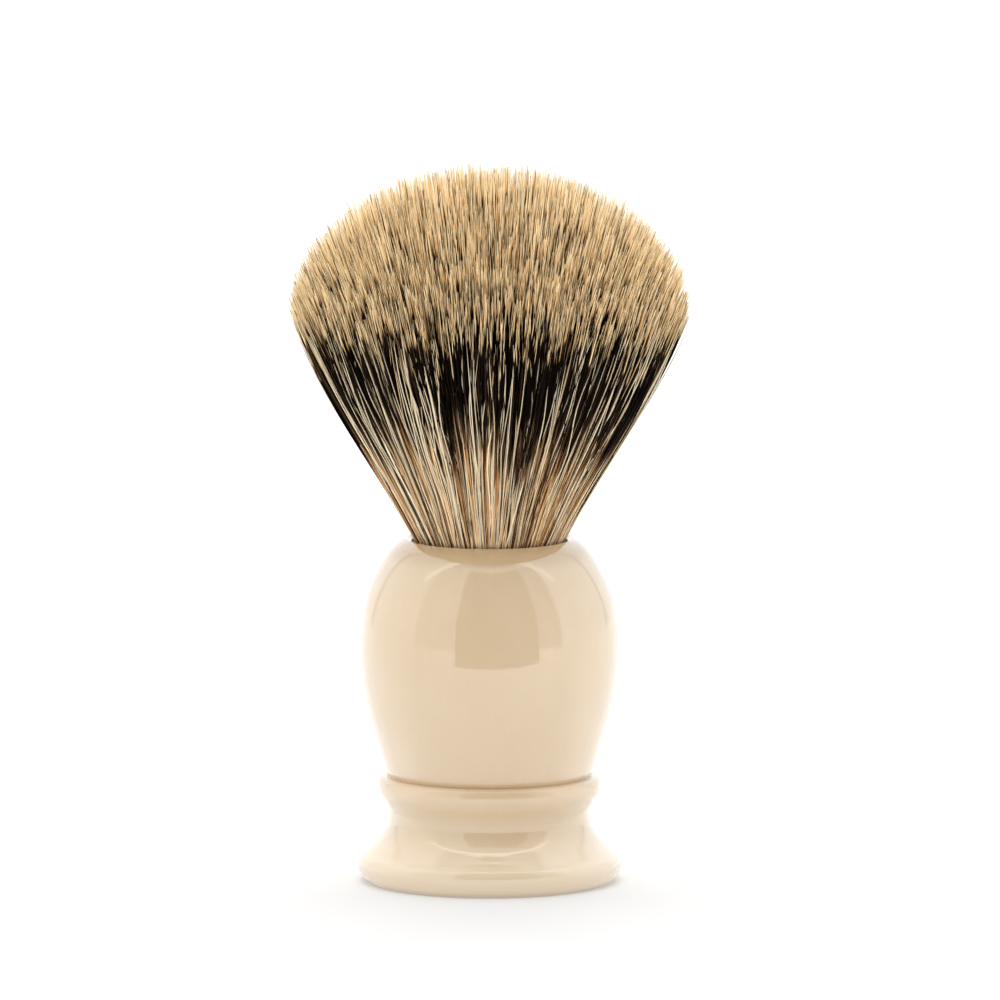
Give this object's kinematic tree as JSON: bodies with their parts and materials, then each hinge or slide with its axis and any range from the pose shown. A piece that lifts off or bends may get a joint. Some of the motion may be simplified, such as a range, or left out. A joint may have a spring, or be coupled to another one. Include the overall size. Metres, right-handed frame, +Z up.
{
  "type": "shaving brush",
  "caption": "Shaving brush with a turned ivory-coloured resin handle, a collar and flared foot, and a fan-shaped banded hair knot that flexes.",
  "frame": {"origin": "centre of the ring that the foot stands on", "axes": "+Z up along the brush's axis, from the foot to the hair's crown; the brush is round, and +X is the way that the modelled bend tips it"},
  "size_m": [0.0564, 0.0564, 0.1018],
  "materials": {
    "ivory_resin": "polished",
    "base_disc_resin": "satin",
    "weight_steel": "turned",
    "clear_epoxy": "cast",
    "ferrule_plastic": "moulded",
    "binding_thread": "waxed thread",
    "banded_hair": "natural hair, light tips and base with a dark band"
  },
  "bodies": {
    "handle": {"handle_barrel": "ivory_resin", "handle_foot": "ivory_resin", "base_disc": "base_disc_resin", "weight_slug": "weight_steel", "knot_glue_bed": "clear_epoxy", "knot_ferrule": "ferrule_plastic", "knot_resin_plug": "clear_epoxy", "knot_binding": "binding_thread", "hair_root": "banded_hair"},
    "tuft": {"hair_loft": "banded_hair"}
  },
  "joints": [
    {"name": "knot_flex", "type": "hinge", "parent": "handle", "child": "tuft", "pos_m": [0, 0, 0.0491], "axis": [0, 1, 0], "range_deg": [-30, 30], "stiffness_Nm_per_rad": 0.1}
  ]
}
